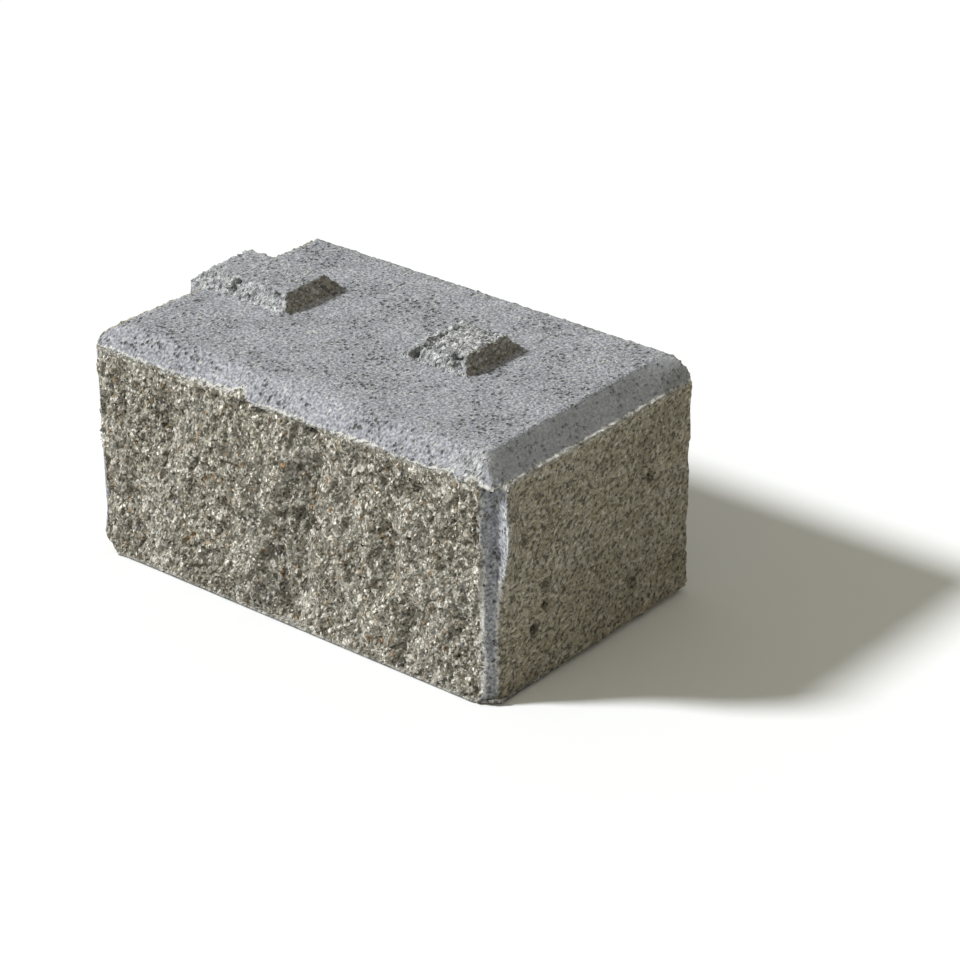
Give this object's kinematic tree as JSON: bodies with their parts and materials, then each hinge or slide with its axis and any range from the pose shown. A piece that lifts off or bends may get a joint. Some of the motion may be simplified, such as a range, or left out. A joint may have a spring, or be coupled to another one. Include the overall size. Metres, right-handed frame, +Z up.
{
  "type": "retaining wall corner block",
  "caption": "Split-face concrete corner block for a dry-laid retaining wall: chamfered moulded top with interlocking lugs, rough split front and end, grooved underside.",
  "frame": {"origin": "centre of the underside of the block's bounding box", "axes": "+X along the front towards the split outer end, -Y out of the split front, +Z up"},
  "size_m": [0.31, 0.18, 0.161],
  "materials": {
    "concrete": "matte"
  },
  "bodies": {
    "root": {"concrete_block": "concrete"}
  },
  "joints": []
}
